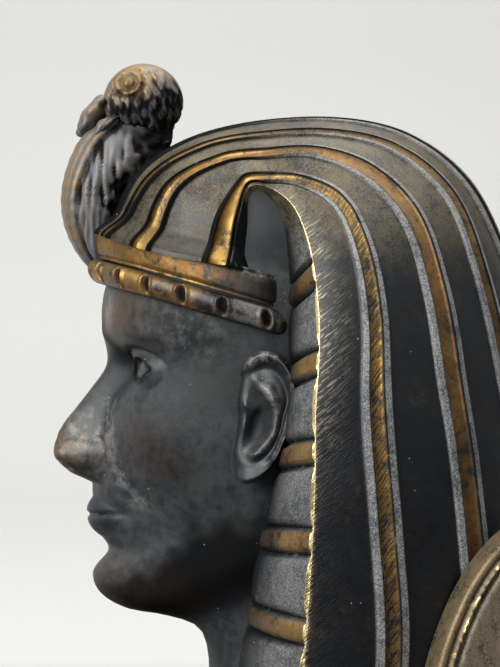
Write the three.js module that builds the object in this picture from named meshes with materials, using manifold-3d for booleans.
// Bust of a cast bronze sphinx in the Egyptian revival manner: one casting, cut flat below the neck.
// It has a striped headcloth with two lappets, a beaded brow band, a rearing cobra and two wing shoulders.
// The figure faces -Y and +Z is up. Sizes are in millimetres.
import * as THREE from "three";
import { ParametricGeometry } from "three/addons/geometries/ParametricGeometry.js";
import { mergeVertices } from "three/addons/utils/BufferGeometryUtils.js";
import Module from "manifold-3d";

// Driving dimensions
const headHeight = 46; // skull, from the chin to its top
const cutBelowChin = 20; // drop from the chin to the flat underside
const channelDepth = 0.38; // matted channels on each side of a gilt stripe
const channelWidth = 0.75; // at the sides of the headcloth
const browChannelWidth = 0.32; // the same channels over the brow and crown
const stripeWidth = 1.25; // gilt stripe between its two channels
const lappetBarHeight = 1.6; // gilt bars across the lappet fronts
const lappetBarPitch = 7.67;
const lappetBarCount = 7;
const lappetGroove = 0.75; // width of the groove above and below a bar
const lappetGrooveDepth = 0.4;
const browBandHeight = 2.9;
const beadRollHeight = 2.3;
const bandStandsProud = 0.55;
const beadPitch = 3.6;
const beadCount = 6; // reels on each half of the bead roll
const reelThickness = 0.75;
const wingThickness = 3.2;
const wingRimWidth = 1.1;
const wingRimHeight = 0.45;
const wingGrooveWidth = 0.7; // between the rim and the field of the wing
const wingFieldHeight = 0.3;

// The sculptor's module: the skull is 46 modules high, and every free form below is given in modules.
const skullModules = 46;
const module = headHeight / skullModules;
const chinModules = 20;
const cutModules = chinModules - cutBelowChin / module;

const wasm = await Module();
wasm.setup();

// Value at s of one quantity that runs smoothly through a row of stations.
function through(values, s) {
  const last = values.length - 1;
  const i = THREE.MathUtils.clamp(Math.floor(s), 0, last - 1);
  const [a, b, c, d] = [i - 1, i, i + 1, i + 2].map((k) => values[THREE.MathUtils.clamp(k, 0, last)]);
  const f = s - i;
  const slopeStart = (c - a) / 2;
  const slopeEnd = (d - b) / 2;
  return (
    b +
    f * slopeStart +
    f * f * (3 * (c - b) - 2 * slopeStart - slopeEnd) +
    f * f * f * (2 * (b - c) + slopeStart + slopeEnd)
  );
}

const columnOf = (stations, name) => stations.map((row) => row[name]);
const bell = (distance, spread) => Math.exp(-0.5 * (distance / spread) ** 2);
const step = (low, high, value) => THREE.MathUtils.smoothstep(value, low, high);

// A closed surface as a manifold solid, with its faces turned outwards.
function solidFrom(geometry) {
  const bare = geometry.index ? geometry.toNonIndexed() : geometry.clone();
  for (const name of Object.keys(bare.attributes)) {
    if (name !== "position") bare.deleteAttribute(name);
  }
  const merged = mergeVertices(bare, 1e-4);
  const corners = merged.index.array;
  const triangles = [];
  for (let i = 0; i < corners.length; i += 3) {
    const [a, b, c] = [corners[i], corners[i + 1], corners[i + 2]];
    if (a !== b && b !== c && c !== a) triangles.push(a, b, c);
  }
  const build = (triVerts) =>
    new wasm.Manifold(
      new wasm.Mesh({
        numProp: 3,
        vertProperties: merged.attributes.position.array,
        triVerts: new Uint32Array(triVerts),
      }),
    );
  const made = build(triangles);
  return made.volume() > 0 ? made : build(triangles.reverse());
}

// A solid lofted through closed rings. pointAt(ring, side) gives each corner in modules.
function loft(rings, sides, pointAt) {
  const ringOf = (ring) => Array.from({ length: sides }, (_, side) => pointAt(ring, side));
  const rows = Array.from({ length: rings }, (_, ring) => ringOf(ring));
  const centre = (row) => row.reduce((sum, p) => sum.add(p), new THREE.Vector3()).divideScalar(row.length);
  const firstCentre = centre(rows[0].map((p) => p.clone()));
  const lastCentre = centre(rows[rings - 1].map((p) => p.clone()));
  const geometry = new ParametricGeometry(
    (around, along, target) => {
      const row = Math.round(along * (rings + 1)) - 1;
      const side = Math.round(around * sides) % sides;
      if (row < 0) target.copy(firstCentre);
      else if (row >= rings) target.copy(lastCentre);
      else target.copy(rows[row][side]);
    },
    sides,
    rings + 1,
  );
  geometry.scale(module, module, module);
  return solidFrom(geometry);
}

// Head and neck, as rings from the chest up to the top of the skull.
// Each ring leans back from its front point to its back point and is half wide to each side.
// front and cheek say how squarely it turns at the face and at the cheek, as shares of its width and depth.
const headStations = [
  { frontY: -21.5, frontZ: -8, backY: 14, backZ: -8, half: 20, front: 0.6, cheek: 0.6 },
  { frontY: -19.8, frontZ: 0, backY: 13, backZ: 0, half: 18, front: 0.6, cheek: 0.6 },
  { frontY: -17.4, frontZ: 5, backY: 10, backZ: 6, half: 14.5, front: 0.58, cheek: 0.58 },
  { frontY: -14.9, frontZ: 9.5, backY: 7, backZ: 11, half: 10.2, front: 0.55, cheek: 0.55 },
  { frontY: -14.3, frontZ: 13.5, backY: 5.5, backZ: 17, half: 9, front: 0.55, cheek: 0.55 },
  { frontY: -15.2, frontZ: 17.2, backY: 5.5, backZ: 25, half: 9, front: 0.55, cheek: 0.5 },
  { frontY: -18.6, frontZ: 18.6, backY: 7, backZ: 31, half: 9.8, front: 0.5, cheek: 0.42 },
  { frontY: -22.2, frontZ: 19.2, backY: 8, backZ: 34, half: 10.6, front: 0.44, cheek: 0.34 },
  { frontY: -24.6, frontZ: 20.6, backY: 9, backZ: 36, half: 10.8, front: 0.4, cheek: 0.28 },
  { frontY: -25.2, frontZ: 22.6, backY: 10, backZ: 37.5, half: 11.1, front: 0.4, cheek: 0.26 },
  { frontY: -24.7, frontZ: 25, backY: 11, backZ: 39, half: 11.8, front: 0.4, cheek: 0.28 },
  { frontY: -25.4, frontZ: 28.7, backY: 12, backZ: 41.5, half: 12.6, front: 0.42, cheek: 0.34 },
  { frontY: -25.6, frontZ: 33, backY: 12.5, backZ: 44, half: 13.5, front: 0.44, cheek: 0.4 },
  { frontY: -25, frontZ: 38, backY: 13, backZ: 47, half: 14, front: 0.47, cheek: 0.46 },
  { frontY: -24.3, frontZ: 43, backY: 13, backZ: 50, half: 14.3, front: 0.5, cheek: 0.5 },
  { frontY: -25, frontZ: 46.5, backY: 13, backZ: 52, half: 14.5, front: 0.54, cheek: 0.55 },
  { frontY: -24.7, frontZ: 51, backY: 12.5, backZ: 55, half: 14.45, front: 0.56, cheek: 0.58 },
  { frontY: -22.8, frontZ: 56, backY: 11.5, backZ: 59, half: 13.9, front: 0.56, cheek: 0.58 },
  { frontY: -18, frontZ: 60.8, backY: 9, backZ: 62.4, half: 11.8, front: 0.56, cheek: 0.56 },
  { frontY: -11, frontZ: 63.8, backY: 3, backZ: 64.4, half: 6.5, front: 0.56, cheek: 0.56 },
];
const widestShare = 0.48; // share of the depth at which the head is widest

// Heights of the canon: the face is thirds of 13.1 modules, and the mouth is a third of the lowest one.
const faceThird = (skullModules * 2) / 7;
const noseBaseZ = chinModules + faceThird;
const browZ = noseBaseZ + faceThird;
const mouthZ = noseBaseZ - faceThird / 3;
const eyeZ = chinModules + skullModules / 2;
const eyeX = 6.1; // one eye width apart, in a face five eyes wide

// How far the midline of the nose stands out, from the brow down to its base.
const noseStations = [
  { z: eyeZ + 2.6, out: 0, half: 1.6 },
  { z: eyeZ + 0.5, out: 0.35, half: 1.5 },
  { z: eyeZ - 1.5, out: 1.25, half: 1.45 },
  { z: eyeZ - 3.7, out: 2.45, half: 1.55 },
  { z: eyeZ - 5.8, out: 3.6, half: 1.8 },
  { z: noseBaseZ + 2.7, out: 4.15, half: 2.05 },
  { z: noseBaseZ + 1.85, out: 4.25, half: 2.2 },
  { z: noseBaseZ + 1.15, out: 3.95, half: 2.25 },
  { z: noseBaseZ + 0.55, out: 3.1, half: 2.25 },
  { z: noseBaseZ + 0.05, out: 1.7, half: 2.2 },
  { z: noseBaseZ - 0.4, out: 0.5, half: 2.1 },
  { z: noseBaseZ - 0.8, out: 0, half: 2 },
];

// Station number at which a falling list of heights reaches z.
function stationAt(stations, z) {
  if (z >= stations[0].z) return 0;
  for (let i = 1; i < stations.length; i++) {
    const [above, below] = [stations[i - 1].z, stations[i].z];
    if (z >= below) return i - 1 + (above - z) / (above - below);
  }
  return stations.length - 1;
}

function noseRelief(x, z) {
  const s = stationAt(noseStations, z);
  const out = Math.max(0, through(columnOf(noseStations, "out"), s));
  const half = through(columnOf(noseStations, "half"), s);
  const ridge = 1 - step(0.3 * half, 1.95 * half, x);
  const wing = 1.15 * bell(x - 2.5, 0.75) * bell(z - noseBaseZ - 1.5, 1);
  return out * ridge + wing;
}

function mouthRelief(x, z) {
  const halfMouth = 4.9;
  const width = 1 - step(0.55 * halfMouth, halfMouth, x);
  const line = mouthZ + 0.015 * x * x;
  const upper = 0.85 * width * bell(z - line - 1, 0.75);
  const lower = 0.95 * width * bell(z - line + 1.25, 0.85);
  const parting = 0.5 * (1 - step(0.8 * halfMouth, 1.15 * halfMouth, x)) * bell(z - line, 0.35);
  const underLip = 0.5 * bell(x, 3.2) * bell(z - line + 3.6, 0.9);
  return upper + lower - parting - underLip;
}

function eyeRelief(x, z) {
  const socket = 1.5 * bell(x - eyeX + 0.6, 3) * bell(z - eyeZ + 0.3, 2) + 0.6 * bell(x - 3.4, 1.2) * bell(z - eyeZ, 1.4);
  const ball = 1.35 * Math.sqrt(Math.max(0, 1 - ((x - eyeX) / 3.3) ** 2 - ((z - eyeZ) / 2.3) ** 2));
  const brow = 0.5 * bell(z - browZ - 0.4 + 0.02 * (x - 5) ** 2, 0.9) * step(0.5, 2.5, x) * (1 - step(9, 12.5, x));
  return ball - socket + brow;
}

// Everything that stands out of or sinks into the face, measured towards -Y.
function faceRelief(x, z) {
  const cheek = 0.7 * bell(x - 9.3, 3.2) * bell(z - 37.5, 2.8);
  const chin = 0.75 * bell(x, 2.9) * bell(z - 22.6, 1.7);
  return noseRelief(x, z) + mouthRelief(x, z) + eyeRelief(x, z) + cheek + chin;
}

// Point of the head at station s. turn runs from 0 at the front over 1 at the widest place to 2 at the back.
function headPoint(s, turn) {
  const at = (name) => through(columnOf(headStations, name), s);
  const half = at("half");
  const [frontY, backY] = [at("frontY"), at("backY")];
  const widestY = frontY + widestShare * (backY - frontY);
  const t = Math.abs(turn);
  const [nearY, nearShare, farShare] = t <= 1 ? [frontY, at("front"), at("cheek")] : [backY, 0.55, 0.55];
  const quarter = new THREE.CubicBezierCurve(
    new THREE.Vector2(0, nearY),
    new THREE.Vector2(nearShare * half, nearY),
    new THREE.Vector2(half, widestY + farShare * (nearY - widestY)),
    new THREE.Vector2(half, widestY),
  );
  const { x, y } = quarter.getPoint(t <= 1 ? t : 2 - t);
  const z = at("frontZ") + ((y - frontY) / (backY - frontY)) * (at("backZ") - at("frontZ"));
  const facing = 1 - step(0.6, 0.85, t);
  return new THREE.Vector3(Math.sign(turn) * x, y - facing * faceRelief(x, z), z);
}

function headSolid() {
  const halfTurn = [0, 0.05, 0.1, 0.15, 0.2, 0.25, 0.3, 0.35, 0.4, 0.47, 0.56, 0.68, 0.84, 1, 1.5, 2];
  const turns = [...halfTurn, ...halfTurn.slice(1, -1).reverse().map((turn) => -turn)];
  const levels = [];
  for (let s = 0; s < 8; s += 1) levels.push(s);
  for (let s = 8; s < 12; s += 0.33) levels.push(s);
  for (let s = 12; s < 13; s += 0.16) levels.push(s);
  for (let s = 13; s < 15.1; s += 0.2) levels.push(s);
  for (let s = 15.4; s < headStations.length; s += 1.2) levels.push(s);
  return loft(levels.length, turns.length, (ring, side) => headPoint(levels[ring], turns[side]));
}

// Headcloth, as sections from the brow over the crown and down to the underside.
// Each section runs from the middle line (mid) over the side to the free edge (edge), turns in to the
// head (tuck) and closes at the heart of the head (core). lean is the direction in which the section
// leaves the edge, 180 forwards, 90 up and 0 back; flare is its slant outwards; round and rise are its fullness.
const clothStations = [
  { midY: -24.2, midZ: 56, edgeX: 14.5, edgeY: -11.2, edgeZ: 52.7, tuckX: 13.2, tuckY: -9.6, tuckZ: 51.5,
    coreY: -14, coreZ: 51, lean: 175, flare: 0.05, round: 8.2, rise: 7.5 },
  { midY: -21.6, midZ: 62, edgeX: 14.3, edgeY: -10.9, edgeZ: 56.9, tuckX: 12.9, tuckY: -9.4, tuckZ: 55.6,
    coreY: -12.5, coreZ: 54, lean: 150, flare: 0, round: 8.2, rise: 7 },
  { midY: -17.2, midZ: 65.4, edgeX: 12.6, edgeY: -10.3, edgeZ: 60.2, tuckX: 11.6, tuckY: -9.2, tuckZ: 58.8,
    coreY: -10, coreZ: 55.5, lean: 122, flare: -0.3, round: 8, rise: 5 },
  { midY: -10.5, midZ: 67.3, edgeX: 14, edgeY: -8.4, edgeZ: 60.1, tuckX: 12.6, tuckY: -7.8, tuckZ: 58,
    coreY: -7, coreZ: 55.5, lean: 98, flare: -0.3, round: 8.5, rise: 5 },
  { midY: -2, midZ: 67.9, edgeX: 15.8, edgeY: -6.3, edgeZ: 58.3, tuckX: 13.8, tuckY: -7.1, tuckZ: 55.8,
    coreY: -4, coreZ: 54, lean: 76, flare: -0.2, round: 9, rise: 6 },
  { midY: 5.5, midZ: 66.4, edgeX: 17.6, edgeY: -5, edgeZ: 55, tuckX: 14.6, tuckY: -6.6, tuckZ: 52.8,
    coreY: -2, coreZ: 52, lean: 60, flare: -0.05, round: 9.5, rise: 7.5 },
  { midY: 11.5, midZ: 61.8, edgeX: 19.6, edgeY: -4.3, edgeZ: 50.8, tuckX: 14.8, tuckY: -6.5, tuckZ: 48.8,
    coreY: 0, coreZ: 49, lean: 45, flare: 0.05, round: 10.5, rise: 9 },
  { midY: 15.2, midZ: 54.5, edgeX: 21.3, edgeY: -4.1, edgeZ: 45.6, tuckX: 15, tuckY: -6.5, tuckZ: 44,
    coreY: 1, coreZ: 45, lean: 30, flare: 0.1, round: 12, rise: 10.5 },
  { midY: 17.4, midZ: 46, edgeX: 22.4, edgeY: -4.5, edgeZ: 40, tuckX: 15, tuckY: -6.6, tuckZ: 38.8,
    coreY: 1, coreZ: 40, lean: 17, flare: 0.12, round: 13, rise: 12 },
  { midY: 19, midZ: 37, edgeX: 23, edgeY: -4.6, edgeZ: 33.9, tuckX: 14, tuckY: -7.8, tuckZ: 32.8,
    coreY: 1, coreZ: 34, lean: 9, flare: 0.13, round: 14, rise: 13 },
  { midY: 20.4, midZ: 28, edgeX: 23, edgeY: -4.9, edgeZ: 27.3, tuckX: 12.6, tuckY: -9.3, tuckZ: 26.6,
    coreY: 1, coreZ: 27.5, lean: 4, flare: 0.13, round: 15, rise: 13.5 },
  { midY: 21.8, midZ: 19, edgeX: 22.6, edgeY: -5.4, edgeZ: 20, tuckX: 11.6, tuckY: -10.4, tuckZ: 20,
    coreY: 1, coreZ: 19.5, lean: 0, flare: 0.14, round: 15.5, rise: 14 },
  { midY: 23, midZ: 9.5, edgeX: 21.8, edgeY: -6.2, edgeZ: 10, tuckX: 10.6, tuckY: -11.9, tuckZ: 10,
    coreY: 0, coreZ: 9.8, lean: 0, flare: 0.15, round: 15.5, rise: 14 },
  { midY: 24, midZ: 0, edgeX: 20.8, edgeY: -7.2, edgeZ: 0, tuckX: 9.6, tuckY: -13.6, tuckZ: 0,
    coreY: 0, coreZ: 0, lean: 0, flare: 0.15, round: 15.5, rise: 14 },
  { midY: 24.8, midZ: -9, edgeX: 19.8, edgeY: -8.2, edgeZ: -9, tuckX: 8.6, tuckY: -15.3, tuckZ: -9,
    coreY: 0, coreZ: -9, lean: 0, flare: 0.15, round: 15.5, rise: 14 },
];
const cloth = Object.fromEntries(
  Object.keys(clothStations[0]).map((name) => [name, (s) => through(columnOf(clothStations, name), s)]),
);
const peakStation = 2; // the free edge leaves the brow here and becomes the lappet

// Point of the plain cloth at station s and share w of the way from the middle line to the free edge.
function clothPoint(s, w) {
  const lean = THREE.MathUtils.degToRad(cloth.lean(s));
  const edge = new THREE.Vector3(cloth.edgeX(s), cloth.edgeY(s), cloth.edgeZ(s));
  const leave = new THREE.Vector3(cloth.flare(s), Math.cos(lean), Math.sin(lean)).multiplyScalar(cloth.rise(s));
  const curve = new THREE.CubicBezierCurve3(
    new THREE.Vector3(0, cloth.midY(s), cloth.midZ(s)),
    new THREE.Vector3(cloth.round(s), cloth.midY(s), cloth.midZ(s)),
    edge.clone().add(leave),
    edge,
  );
  return curve.getPoint(w);
}

// The same point sunk by depth along the cloth's own normal.
function sunkClothPoint(s, w, depth) {
  const here = clothPoint(s, w);
  const acrossStep = w > 0.5 ? -0.01 : 0.01;
  const alongStep = s > 0.5 ? -0.05 : 0.05;
  const across = clothPoint(s, w + acrossStep).sub(here).multiplyScalar(Math.sign(acrossStep));
  const along = clothPoint(s + alongStep, w).sub(here).multiplyScalar(Math.sign(alongStep));
  const inwards = across.cross(along).normalize();
  return here.addScaledVector(inwards, depth);
}

// Gilt stripes, as shares of the way from the middle line to the free edge, one for each station.
// The widths are in stripe widths, at the brow, at the peak of the edge and down the sides.
const stripes = [
  { shares: [0, 0, 0, 0, 0, 0, 0, 0, 0, 0, 0, 0, 0, 0, 0], widths: [0.7, 0.7, 0.85] },
  {
    shares: [0.14, 0.19, 0.25, 0.27, 0.24, 0.2, 0.185, 0.19, 0.2, 0.2, 0.2, 0.2, 0.2, 0.2, 0.2],
    widths: [0.7, 0.7, 0.85],
  },
  {
    shares: [0.3, 0.39, 0.5, 0.54, 0.468, 0.39, 0.37, 0.399, 0.41, 0.41, 0.4, 0.39, 0.39, 0.39, 0.39],
    widths: [0.75, 0.75, 0.95],
  },
  {
    shares: [0.57, 0.595, 0.72, 0.745, 0.66, 0.6, 0.582, 0.604, 0.619, 0.616, 0.605, 0.595, 0.59, 0.59, 0.59],
    widths: [1.35, 0.9, 1.3],
  },
  {
    shares: [0.915, 0.93, 0.95, 0.932, 0.855, 0.785, 0.798, 0.821, 0.839, 0.842, 0.828, 0.812, 0.805, 0.8, 0.8],
    widths: [1.5, 0.6, 0.95],
  },
];

function stripeHalf(stripe, s) {
  const [brow, peak, side] = stripe.widths;
  return (stripeWidth / 2) * (brow + (peak - brow) * step(0.4, 1.9, s) + (side - peak) * step(3, 6, s));
}

function sectionLength(s) {
  const pieces = 12;
  let length = 0;
  for (let i = 0; i < pieces; i++) length += clothPoint(s, i / pieces).distanceTo(clothPoint(s, (i + 1) / pieces));
  return length * module;
}

// Corners of one half of a section, from the middle line to the edge, each with its depth below the cloth.
function clothSection(s) {
  const length = sectionLength(s);
  const channel = (browChannelWidth + (channelWidth - browChannelWidth) * step(3, 8, s)) / length;
  const depth = (channelDepth / module) * (0.6 + 0.4 * step(3, 8, s));
  const places = stripes.map((stripe) => {
    const middle = through(stripe.shares, s);
    const fillet = stripeHalf(stripe, s) / length;
    const squeeze = Math.min(1, (0.996 - middle) / (fillet + channel));
    return { middle, inner: fillet, outer: fillet * squeeze, channel, outerChannel: channel * squeeze };
  });
  const corners = [];
  places.forEach((place, i) => {
    const { middle, inner, outer, outerChannel } = place;
    if (i === 0) corners.push([0, 0]);
    else corners.push([middle - inner - channel, 0], [middle - inner - channel / 2, depth], [middle - inner, 0]);
    const end = middle + outer + outerChannel;
    corners.push([middle + outer, 0], [middle + outer + outerChannel / 2, depth], [end, 0]);
    const next = places[i + 1];
    corners.push([(end + (next ? next.middle - next.inner - channel : 1)) / 2, 0]);
  });
  corners.push([1, 0]);
  return corners.map(([w, sunk]) => sunkClothPoint(s, w, sunk));
}

// Point of the turned-in front of the lappet, share f of the way from the free edge to the tuck.
function lappetPoint(s, f, sunk) {
  const edge = clothPoint(s, 1);
  const tuck = new THREE.Vector3(cloth.tuckX(s), cloth.tuckY(s), cloth.tuckZ(s));
  const outwards = new THREE.Vector3(0, 0, 1).cross(tuck.clone().sub(edge)).normalize();
  const swell = 0.9 * step(5, 9, s) * 4 * f * (1 - f);
  return edge.lerp(tuck, f).addScaledVector(outwards, swell - sunk);
}

function clothSolid() {
  const levels = [0, 0.5, 1, 1.5, 2, 2.4, 2.9, 3.4, 4, 4.6, 5.2, 5.8, 6.4, 7, 7.8, 8.8, 10, 11.3, 12.7, 14];
  const sections = levels.map((s) => {
    const behindFacing = (facingDepth / module) * step(3.5, 4.5, s);
    const front = [0.33, 0.67, 1].map((f) => lappetPoint(s, f, behindFacing));
    const half = [...clothSection(s), ...front];
    const core = new THREE.Vector3(0, cloth.coreY(s), cloth.coreZ(s));
    const other = half
      .slice(1)
      .reverse()
      .map((p) => new THREE.Vector3(-p.x, p.y, p.z));
    return [...half, core, ...other];
  });
  return loft(levels.length, sections[0].length, (ring, side) => sections[ring][side].clone());
}

// Facing of a lappet front: gilt bars between pairs of grooves, with a longer cushion of cloth between bars.
const firstBarZ = 51.1;
const facingDepth = 0.6; // how far the facing is let into the cloth
function lappetFacing(side) {
  const bar = lappetBarHeight / 2 / module;
  const groove = lappetGroove / module;
  const deep = lappetGrooveDepth / module;
  const levels = [{ z: firstBarZ + bar + 2 * groove + 1, sunk: 0.3 }];
  for (let i = 0; i < lappetBarCount; i++) {
    const z = firstBarZ - (i * lappetBarPitch) / module;
    for (const up of [1, -1]) {
      const rows = [
        { z: z + up * (bar + groove), sunk: 0 },
        { z: z + up * (bar + groove / 2), sunk: deep },
        { z: z + up * bar, sunk: 0 },
      ];
      levels.push(...(up > 0 ? rows : rows.reverse()));
    }
    levels.push({ z: z - lappetBarPitch / module / 2, sunk: -0.1 });
  }
  const stations = levels.map(({ z }) => lappetStation(z));
  const shares = [0.05, 0.5, 1];
  const anchor = (facingDepth * 2) / module;
  return loft(levels.length, shares.length + 2, (ring, corner) => {
    const f = corner < shares.length ? shares[corner] : [1, 0.2][corner - shares.length];
    const sunk = corner < shares.length ? levels[ring].sunk : anchor;
    const point = lappetPoint(stations[ring], f, sunk);
    return new THREE.Vector3(side * point.x, point.y, point.z);
  });
}

// Station at which the middle of the lappet front is at height z.
function lappetStation(z) {
  let [low, high] = [peakStation + 1, clothStations.length - 1];
  for (let i = 0; i < 24; i++) {
    const s = (low + high) / 2;
    if (lappetPoint(s, 0.5, 0).z > z) low = s;
    else high = s;
  }
  return (low + high) / 2;
}

// Brow band and bead roll, which lie one above the other in a plane that falls towards the ears.
const bandFall = 0.29; // drop for each module back from the brow
const bandFront = -25.1;
const bandCentreY = -8.3;
const bandHalfWidth = 14.55;
const bandEndAngle = 98; // degrees round from the front to the temples

// Point of the band's path at an angle round from the front, standing out by proud and up by rise.
function bandPoint(degrees, proud, rise) {
  const angle = THREE.MathUtils.degToRad(degrees);
  const x = (bandHalfWidth + proud) * Math.sin(angle);
  const y = bandCentreY - (bandCentreY - bandFront + proud) * Math.cos(angle);
  return new THREE.Vector3(x, y, rise - bandFall * (y - bandFront));
}

// A strip along the band's path whose section is a list of [proud, rise] corners. Its ends run into the temples.
function bandStrip(section, fromAngle, toAngle, rings) {
  return loft(rings, section.length, (ring, side) => {
    const degrees = fromAngle + ((toAngle - fromAngle) * ring) / (rings - 1);
    const dive = 1.4 * step(86, bandEndAngle, Math.abs(degrees));
    return bandPoint(degrees, section[side][0] - dive, section[side][1]);
  });
}

const browBandZ = 55.5;
const beadRollZ = browBandZ - (browBandHeight / 2 + 0.15 + beadRollHeight / 2) / module;
function browBands() {
  const proud = bandStandsProud / module;
  const bandHalf = browBandHeight / 2 / module;
  const rollHalf = beadRollHeight / 2 / module;
  const bandSection = [
    [-1.6, browBandZ - bandHalf],
    [proud, browBandZ - bandHalf],
    [proud * 1.15, browBandZ],
    [proud, browBandZ + bandHalf],
    [-1.6, browBandZ + bandHalf],
  ];
  const rollSection = [
    [-1.6, beadRollZ - rollHalf],
    [proud * 0.7, beadRollZ - rollHalf * 0.9],
    [proud * 1.5, beadRollZ - rollHalf * 0.35],
    [proud * 1.5, beadRollZ + rollHalf * 0.35],
    [proud * 0.7, beadRollZ + rollHalf * 0.9],
    [-1.6, beadRollZ + rollHalf],
  ];
  const made = [bandStrip(bandSection, -bandEndAngle, bandEndAngle, 17)];
  made.push(bandStrip(rollSection, -bandEndAngle, bandEndAngle, 17));
  const reelSection = rollSection.map(([out, rise]) => [
    out > 0 ? out + 0.3 : out,
    beadRollZ + (rise - beadRollZ) * 1.12,
  ]);
  const degreesPerModule = 180 / Math.PI / ((bandHalfWidth + bandCentreY - bandFront) / 2);
  for (let i = 0; i < beadCount; i++) {
    const middle = ((i + 0.75) * beadPitch * degreesPerModule) / module;
    const half = ((reelThickness / 2) * degreesPerModule) / module;
    for (const side of [1, -1]) {
      made.push(bandStrip(reelSection, side * (middle - half), side * (middle + half), 2));
    }
  }
  return made;
}

// Cobra at the brow: an upright neck with its hood spread, a round head and a drooping snout.
const cobraStations = [
  { y: -24.4, z: 52.6, deep: 1.2, half: 2, lean: 90 },
  { y: -25.4, z: 55, deep: 2, half: 3.1, lean: 95 },
  { y: -25.7, z: 57.6, deep: 2.9, half: 3.9, lean: 92 },
  { y: -25.4, z: 60.2, deep: 3.5, half: 4.2, lean: 86 },
  { y: -24.3, z: 62.8, deep: 4, half: 4, lean: 80 },
  { y: -22.9, z: 65.2, deep: 4.1, half: 3.5, lean: 76 },
  { y: -21.4, z: 67.2, deep: 3.9, half: 3.1, lean: 76 },
  { y: -20.9, z: 69, deep: 3.2, half: 2.8, lean: 80 },
];

function cobraPoint(s, turn) {
  const at = (name) => through(columnOf(cobraStations, name), s);
  const lean = THREE.MathUtils.degToRad(at("lean"));
  const deep = at("deep") * -Math.cos(turn);
  return new THREE.Vector3(
    at("half") * Math.sin(turn),
    at("y") + deep * Math.sin(lean),
    at("z") - deep * Math.cos(lean),
  );
}

function egg(centre, size, tilt, columns, rows) {
  const shape = new THREE.SphereGeometry(1, columns, rows);
  shape.scale(size[0] * module, size[1] * module, size[2] * module);
  shape.rotateX(THREE.MathUtils.degToRad(tilt));
  shape.translate(centre[0] * module, centre[1] * module, centre[2] * module);
  return solidFrom(shape);
}

function cobraSolids() {
  const rings = 11;
  const sides = 12;
  const hood = loft(rings, sides, (ring, side) =>
    cobraPoint(((cobraStations.length - 1) * ring) / (rings - 1), (side / sides) * 2 * Math.PI),
  );
  const head = egg([0, -20.9, 70.1], [3.4, 4, 3.5], 12, 12, 8);
  const snout = egg([0, -25.9, 68.4], [2, 1, 2.5], -33, 8, 6);
  const jaw = egg([0, -24.9, 66.9], [2.6, 0.75, 2.2], -42, 8, 6);
  const eyes = [1, -1].map((side) => egg([side * 2.9, -22.2, 71.3], [0.9, 1.2, 1.2], 0, 8, 5));
  return [hood, head, snout, jaw, ...eyes];
}

// Ear: a pebble set against the temple, with a raised rim round a hollow.
const earCentre = [14.1, -9.1, 39.1];
function earSolid(side) {
  const turns = 14;
  const shells = [
    { share: 0.7, out: -1.4 },
    { share: 0.98, out: 0.5 },
    { share: 1, out: 1.15 },
    { share: 0.88, out: 1.5 },
    { share: 0.72, out: 1.25 },
    { share: 0.5, out: 0.55 },
    { share: 0.2, out: 0.45 },
  ];
  return loft(shells.length, turns, (ring, turn) => {
    const angle = (turn / turns) * 2 * Math.PI;
    const tall = angle < Math.PI ? 6 : 6.6;
    const wide = 2.75 - 0.75 * step(0, 1, -Math.sin(angle));
    const { share, out } = shells[ring];
    const across = share * wide * Math.cos(angle);
    const up = share * tall * Math.sin(angle);
    const lean = 0.14 * up - 0.02 * up * up;
    const rear = 0.5 + 0.5 * Math.cos(angle);
    const stand = out < 0 ? out : out * (0.45 + 0.55 * rear) + 0.24 * across;
    return new THREE.Vector3(
      side * (earCentre[0] + stand),
      earCentre[1] + across + lean,
      earCentre[2] + up,
    );
  });
}

// Wing shoulder: a rounded slab behind the lappet, with a raised rim and rows of scale feathers.
const wingFoot = { y: 4.3, z: -9 };
const wingTop = { y: 19.5, z: 31.5 };
const wingBack = { y: 30.4, z: 14 };
function wingOutline(inset) {
  const shape = new THREE.Shape();
  shape.moveTo(wingFoot.y + inset, wingFoot.z);
  shape.lineTo(wingFoot.y + 0.1 + inset, 8);
  shape.bezierCurveTo(
    wingFoot.y + 0.7 + inset, 19,
    wingTop.y - 10, wingTop.z - inset,
    wingTop.y, wingTop.z - inset,
  );
  shape.bezierCurveTo(
    wingTop.y + 7, wingTop.z - inset,
    wingBack.y - inset, wingBack.z + 9,
    wingBack.y - inset, wingBack.z,
  );
  shape.lineTo(wingBack.y - 1.2 - inset, wingFoot.z);
  shape.closePath();
  return shape;
}

const wingPlaneX = 25.6;
const wingTurn = 13; // degrees that the wing closes in towards the back
function wingSlab(inset, fromX, toX, side, bevel) {
  const slab = new THREE.ExtrudeGeometry(wingOutline(inset), {
    depth: toX - fromX - 2 * bevel,
    bevelEnabled: bevel > 0,
    bevelThickness: bevel,
    bevelSize: bevel,
    bevelOffset: -bevel,
    bevelSegments: 1,
    curveSegments: 7,
  });
  slab.translate(0, 0, fromX + bevel);
  slab.applyMatrix4(
    new THREE.Matrix4().makeBasis(
      new THREE.Vector3(0, 1, 0),
      new THREE.Vector3(0, 0, 1),
      new THREE.Vector3(1, 0, 0),
    ),
  );
  slab.translate(0, -wingFoot.y, 0);
  slab.rotateZ(THREE.MathUtils.degToRad(wingTurn));
  slab.translate(wingPlaneX, wingFoot.y, 0);
  slab.scale(side * module, module, module);
  return solidFrom(slab);
}

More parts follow.
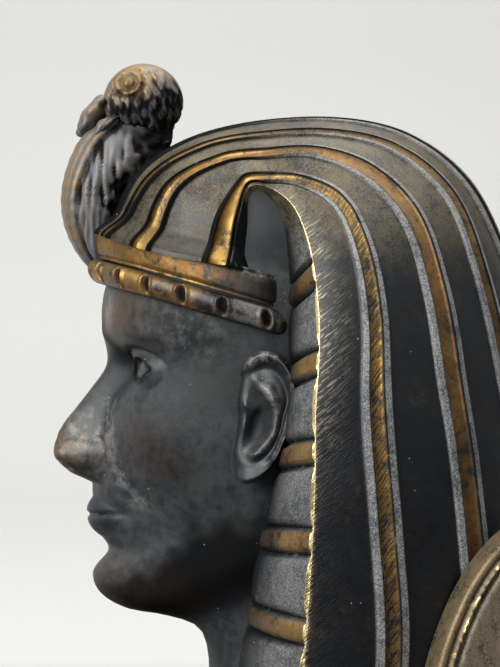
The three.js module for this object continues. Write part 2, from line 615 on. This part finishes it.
function wingSolid(side) {
  const thick = wingThickness / module;
  const rim = wingRimHeight / module;
  const slab = wingSlab(0, -thick, 0, side, 0.6);
  const hollow = wingSlab(wingRimWidth / module, -rim, rim, side, 0);
  const fieldInset = (wingRimWidth + wingGrooveWidth) / module;
  const field = wingSlab(fieldInset, -thick, wingFieldHeight / module - rim, side, 0.15);
  return slab.subtract(hollow).add(field);
}

// Shoulders: a mound that backs the headcloth and carries the wings.
function shoulderSolid() {
  return egg([0, 11.5, -6], [24.5, 17.8, 20], 0, 18, 9);
}

// The casting without the hollows that its pieces close in between them.
function filled(made) {
  return wasm.Manifold.union(made.decompose().filter((shell) => shell.volume() > 0));
}

function bustSolid() {
  const pieces = [
    headSolid(),
    clothSolid(),
    ...[1, -1].map(lappetFacing),
    ...browBands(),
    ...cobraSolids(),
    ...[1, -1].map(earSolid),
    shoulderSolid(),
    ...[1, -1].map(wingSolid),
  ];
  const reach = 200;
  const ground = new THREE.BoxGeometry(reach, reach, reach);
  ground.translate(0, 0, cutModules * module - reach / 2);
  return filled(wasm.Manifold.union(pieces).subtract(solidFrom(ground)));
}

// The solid as a geometry whose origin is under the middle of its box, on the flat underside.
function geometryOf(solid) {
  const { vertProperties, triVerts, numProp } = solid.getMesh();
  const geometry = new THREE.BufferGeometry();
  const positions = new Float32Array((vertProperties.length / numProp) * 3);
  for (let i = 0; i < positions.length / 3; i++) {
    for (let axis = 0; axis < 3; axis++) positions[3 * i + axis] = vertProperties[numProp * i + axis];
  }
  geometry.setAttribute("position", new THREE.BufferAttribute(positions, 3));
  geometry.setIndex(new THREE.BufferAttribute(new Uint32Array(triVerts), 1));
  geometry.computeBoundingBox();
  const { min, max } = geometry.boundingBox;
  geometry.translate(0, -(min.y + max.y) / 2, -min.z);
  return geometry;
}

const patinatedBronze = new THREE.MeshStandardMaterial({ color: 0x2b2825, roughness: 0.45, metalness: 0.7 });
const solid = bustSolid();
const bust = new THREE.Mesh(geometryOf(solid), patinatedBronze);
bust.name = "bust";

const group = new THREE.Group();
group.add(bust);
export default group;
